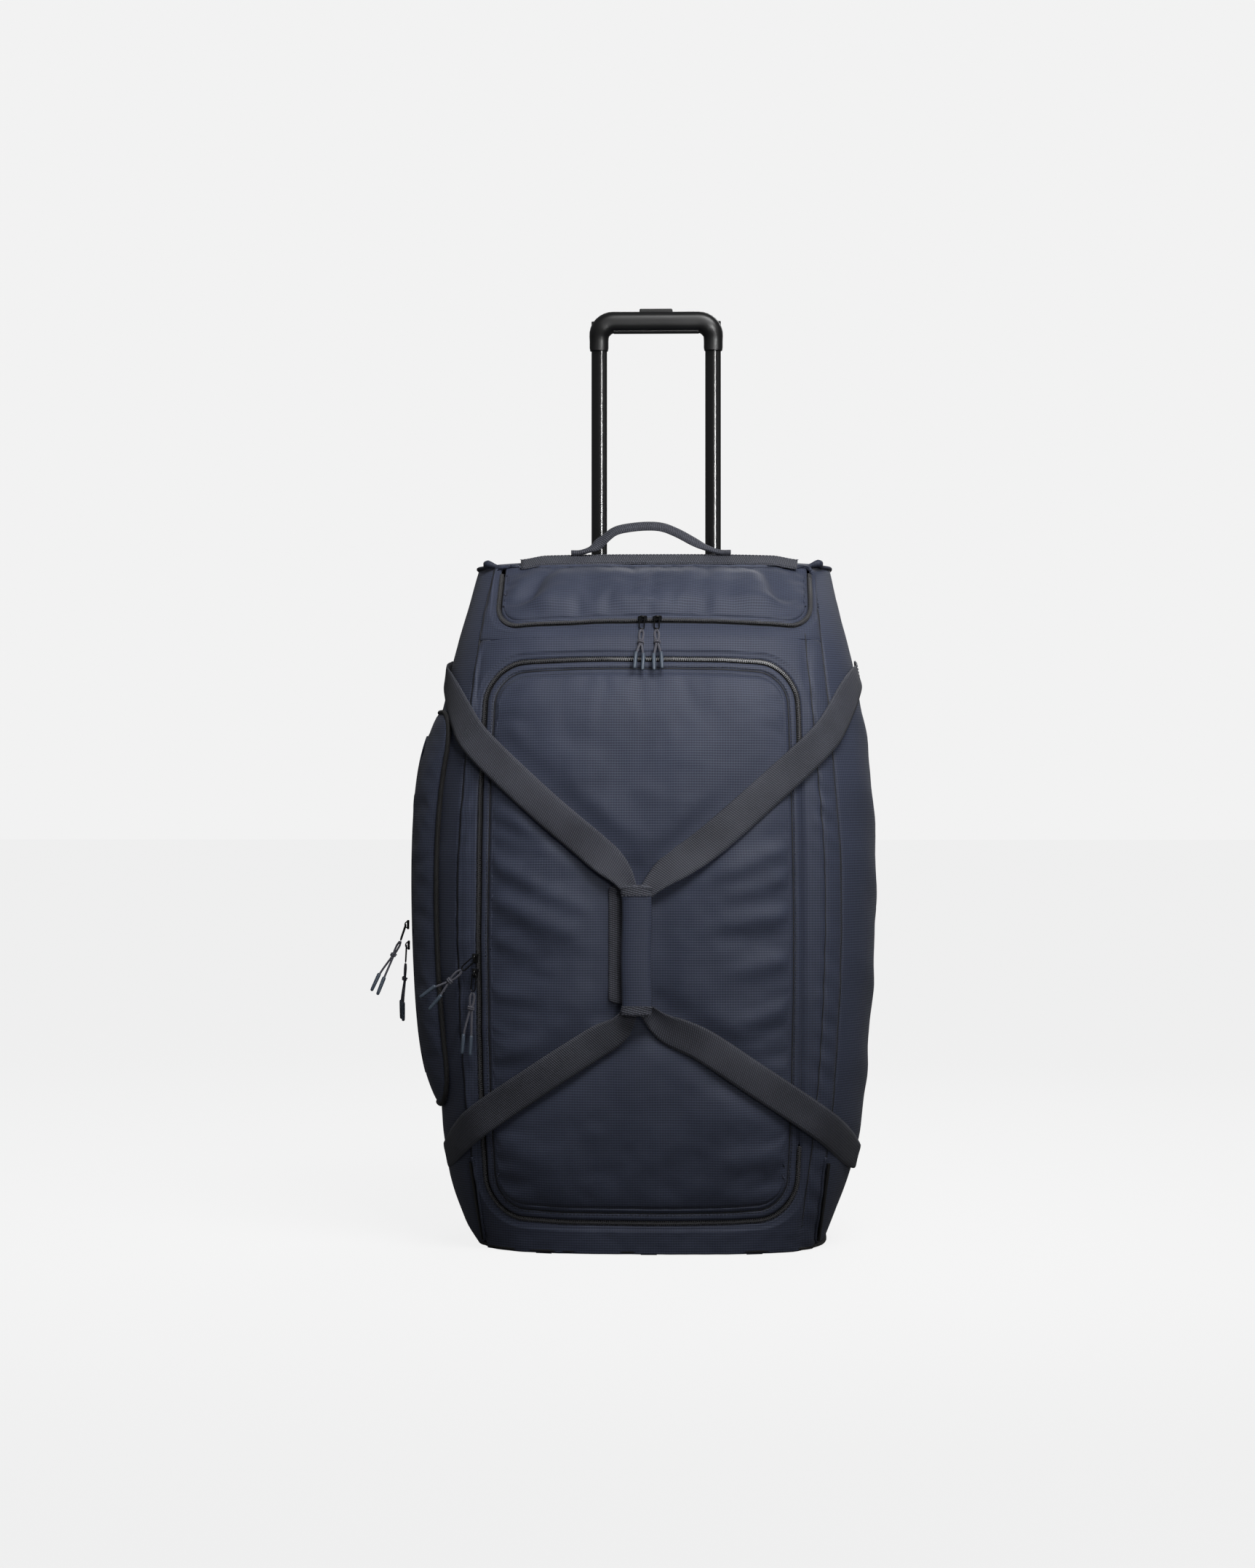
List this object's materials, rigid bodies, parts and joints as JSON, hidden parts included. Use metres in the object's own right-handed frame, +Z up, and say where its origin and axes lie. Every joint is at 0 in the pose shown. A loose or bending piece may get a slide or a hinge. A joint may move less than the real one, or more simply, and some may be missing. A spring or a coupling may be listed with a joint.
{
  "type": "rolling duffel bag",
  "caption": "Tall soft rolling duffel bag with a hinged front lid, crossed webbing straps, top flap, side pocket, telescopic handle and wheels.",
  "frame": {"origin": "on the floor, under the middle of the base tray, on the middle skid", "axes": "+Z up, the longest way; the lid faces -Y; +X is the lid hinge side"},
  "size_m": [0.5888, 0.3966, 1.113],
  "materials": {
    "ripstop": "matt woven ripstop",
    "webbing": "ribbed woven webbing",
    "zip_coil": "satin black",
    "black_plastic": "satin moulded",
    "black_tube": "gloss black anodised",
    "steel": "plated",
    "tyre_rubber": "matt",
    "frame_sheet": "matt sheet",
    "pull_cord": "braided cord with moulded tips"
  },
  "bodies": {
    "bag": {"back_panel": "ripstop", "left_side_panel": "ripstop", "right_side_panel": "ripstop", "front_border": "ripstop", "top_panel": "ripstop", "top_pocket_divider": "ripstop", "base_tray": "black_plastic", "frame_board": "frame_sheet", "left_corner_guard": "black_plastic", "right_corner_guard": "black_plastic", "side_pocket": "ripstop", "pocket_zip": "zip_coil", "handle_band": "webbing", "left_outer_tube": "black_tube", "right_outer_tube": "black_tube", "trolley_bezel": "black_plastic", "trolley_bottom_bracket": "black_plastic", "left_wheel_housing": "black_plastic", "right_wheel_housing": "black_plastic", "left_axle": "steel", "right_axle": "steel"},
    "trolley": {"left_inner_tube": "black_tube", "right_inner_tube": "black_tube", "grip_upper": "black_plastic", "grip_lower": "black_plastic", "button_spring": "steel"},
    "button": {"grip_button": "black_plastic"},
    "left_wheel": {"left_hub": "black_plastic", "left_tyre": "tyre_rubber"},
    "right_wheel": {"right_hub": "black_plastic", "right_tyre": "tyre_rubber"},
    "lid": {"lid": "ripstop", "lid_zip": "zip_coil"},
    "top_flap": {"top_flap": "ripstop", "flap_zip": "zip_coil"},
    "left_strap_loop": {"strap_upper_left": "webbing", "strap_lower_left": "webbing", "wrap_front": "ripstop"},
    "right_strap_loop": {"strap_upper_right": "webbing", "strap_lower_right": "webbing", "wrap_rear": "webbing"},
    "carry_handle": {"carry_handle": "webbing"},
    "lid_upper_slider": {"lid_upper_slider": "zip_coil"},
    "lid_upper_pull": {"lid_upper_bail": "zip_coil", "lid_upper_pull_cord": "pull_cord"},
    "lid_lower_slider": {"lid_lower_slider": "zip_coil"},
    "lid_lower_pull": {"lid_lower_bail": "zip_coil", "lid_lower_pull_cord": "pull_cord"},
    "flap_left_slider": {"flap_left_slider": "zip_coil"},
    "flap_left_pull": {"flap_left_bail": "zip_coil", "flap_left_pull_cord": "pull_cord"},
    "flap_right_slider": {"flap_right_slider": "zip_coil"},
    "flap_right_pull": {"flap_right_bail": "zip_coil", "flap_right_pull_cord": "pull_cord"},
    "pocket_upper_slider": {"pocket_upper_slider": "zip_coil"},
    "pocket_upper_pull": {"pocket_upper_bail": "zip_coil", "pocket_upper_pull_cord": "pull_cord"},
    "pocket_lower_slider": {"pocket_lower_slider": "zip_coil"},
    "pocket_lower_pull": {"pocket_lower_bail": "zip_coil", "pocket_lower_pull_cord": "pull_cord"}
  },
  "joints": [
    {"name": "trolley_slide", "type": "slide", "parent": "bag", "child": "trolley", "axis": [0, 0, 1], "range_m": [-0.25, 0]},
    {"name": "button_press", "type": "slide", "parent": "trolley", "child": "button", "axis": [0, 0, -1], "range_m": [0, 0.0025], "stiffness_N_per_m": 900, "springref_m": -0.002, "deforming": ["button_spring"]},
    {"name": "left_wheel_spin", "type": "hinge", "parent": "bag", "child": "left_wheel", "pos_m": [-0.171, 0.137, 0.037], "axis": [1, 0, 0], "continuous": true},
    {"name": "right_wheel_spin", "type": "hinge", "parent": "bag", "child": "right_wheel", "pos_m": [0.171, 0.137, 0.037], "axis": [1, 0, 0], "continuous": true},
    {"name": "lid_open", "type": "hinge", "parent": "bag", "child": "lid", "pos_m": [0.1735, -0.18, 0.357], "axis": [0, 0, 1], "range_deg": [0, 50], "deforming": ["flap_left_pull_cord", "flap_right_pull_cord"]},
    {"name": "left_strap_swing", "type": "hinge", "parent": "bag", "child": "left_strap_loop", "pos_m": [-0.2415, 0.012, 0.385], "axis": [0, 0, 1], "range_deg": [-150, 0]},
    {"name": "right_strap_swing", "type": "hinge", "parent": "bag", "child": "right_strap_loop", "pos_m": [0.2415, 0.012, 0.385], "axis": [0, 0, 1], "range_deg": [0, 60]},
    {"name": "top_flap_open", "type": "hinge", "parent": "bag", "child": "top_flap", "pos_m": [0.004, -0.034, 0.7885], "axis": [1, 0, 0], "range_deg": [-80, 0]},
    {"name": "carry_handle_fold", "type": "hinge", "parent": "bag", "child": "carry_handle", "pos_m": [0, -0.012, 0.809], "axis": [1, 0, 0], "range_deg": [-45, 60]},
    {"name": "lid_upper_slider_slide", "type": "slide", "parent": "lid", "child": "lid_upper_slider", "axis": [0, 0, 1], "range_m": [0, 0.13]},
    {"name": "lid_lower_slider_slide", "type": "slide", "parent": "lid", "child": "lid_lower_slider", "axis": [0, 0, 1], "range_m": [-0.07, 0]},
    {"name": "flap_left_slider_slide", "type": "slide", "parent": "top_flap", "child": "flap_left_slider", "axis": [1, 0, 0], "range_m": [-0.09, 0]},
    {"name": "flap_right_slider_slide", "type": "slide", "parent": "top_flap", "child": "flap_right_slider", "axis": [1, 0, 0], "range_m": [0, 0.09]},
    {"name": "pocket_upper_slider_slide", "type": "slide", "parent": "bag", "child": "pocket_upper_slider", "axis": [0, 0, 1], "range_m": [0, 0.1]},
    {"name": "pocket_lower_slider_slide", "type": "slide", "parent": "bag", "child": "pocket_lower_slider", "axis": [0, 0, 1], "range_m": [-0.08, 0]},
    {"name": "lid_upper_pull_swing", "type": "hinge", "parent": "lid_upper_slider", "child": "lid_upper_pull", "pos_m": [-0.19755, -0.17763, 0.337], "axis": [-0.5689, 0.2727, 0.7758], "range_deg": [0, 90]},
    {"name": "lid_lower_pull_swing", "type": "hinge", "parent": "lid_lower_slider", "child": "lid_lower_pull", "pos_m": [-0.19757, -0.17708, 0.32], "axis": [-0.896, 0.4348, 0.0896], "range_deg": [0, 90]},
    {"name": "flap_left_pull_swing", "type": "hinge", "parent": "flap_left_slider", "child": "flap_left_pull", "pos_m": [-0.0085, -0.13203, 0.72647], "axis": [-1, 0, 0], "range_deg": [0, 90]},
    {"name": "flap_right_pull_swing", "type": "hinge", "parent": "flap_right_slider", "child": "flap_right_pull", "pos_m": [0.0085, -0.13203, 0.72647], "axis": [-1, 0, 0], "range_deg": [0, 90]},
    {"name": "pocket_upper_pull_swing", "type": "hinge", "parent": "pocket_upper_slider", "child": "pocket_upper_pull", "pos_m": [-0.28851, -0.04318, 0.37], "axis": [-0.0097, 0.913, -0.4079], "range_deg": [0, 90]},
    {"name": "pocket_lower_pull_swing", "type": "hinge", "parent": "pocket_lower_slider", "child": "pocket_lower_pull", "pos_m": [-0.28776, -0.04348, 0.346], "axis": [-0.0111, 0.9987, 0.0505], "range_deg": [0, 90]}
  ],
  "couplings": [
    {"joint": "left_strap_swing", "follows": "lid_open", "ratio": -3},
    {"joint": "right_strap_swing", "follows": "lid_open", "ratio": 1.2}
  ]
}
